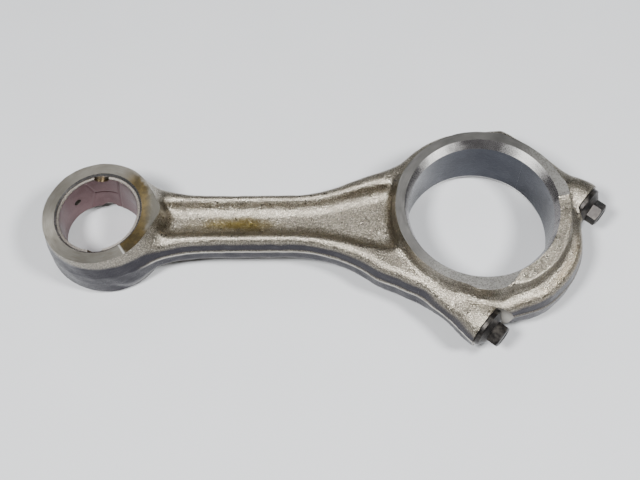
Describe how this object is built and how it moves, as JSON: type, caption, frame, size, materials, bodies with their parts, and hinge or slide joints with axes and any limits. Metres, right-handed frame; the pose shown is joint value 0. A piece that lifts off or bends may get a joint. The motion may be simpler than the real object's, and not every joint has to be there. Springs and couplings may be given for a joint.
{
  "type": "connecting rod",
  "caption": "Diesel engine connecting rod: forged I-section shank, bushed tapered small end, and an obliquely split big end whose cap is held by flanged bolts.",
  "frame": {"origin": "centre of the big-end bore, half way through its thickness", "axes": "+X points from the small end towards the big end, +Z along both bores (the crankpin direction)"},
  "size_m": [0.2878, 0.1194, 0.0386],
  "materials": {
    "forged_steel": "shot-peened forging skin, ground side faces, honed bore",
    "bush_bronze": "bored bronze lining on a thin steel back",
    "black_oxide_steel": "black oxide, lightly oiled"
  },
  "bodies": {
    "rod": {"rod": "forged_steel", "small_end_bush": "bush_bronze"},
    "bearing_cap": {"bearing_cap": "forged_steel"},
    "cap_bolt_upper": {"cap_bolt_upper": "black_oxide_steel"},
    "cap_bolt_lower": {"cap_bolt_lower": "black_oxide_steel"}
  },
  "joints": [
    {"name": "cap_slide", "type": "slide", "parent": "rod", "child": "bearing_cap", "axis": [0.7716, -0.6361, 0], "range_m": [0, 0.06]},
    {"name": "upper_bolt_slide", "type": "slide", "parent": "bearing_cap", "child": "cap_bolt_upper", "axis": [0.7716, -0.6361, 0], "range_m": [0, 0.055]},
    {"name": "lower_bolt_slide", "type": "slide", "parent": "bearing_cap", "child": "cap_bolt_lower", "axis": [0.7716, -0.6361, 0], "range_m": [0, 0.055]}
  ]
}
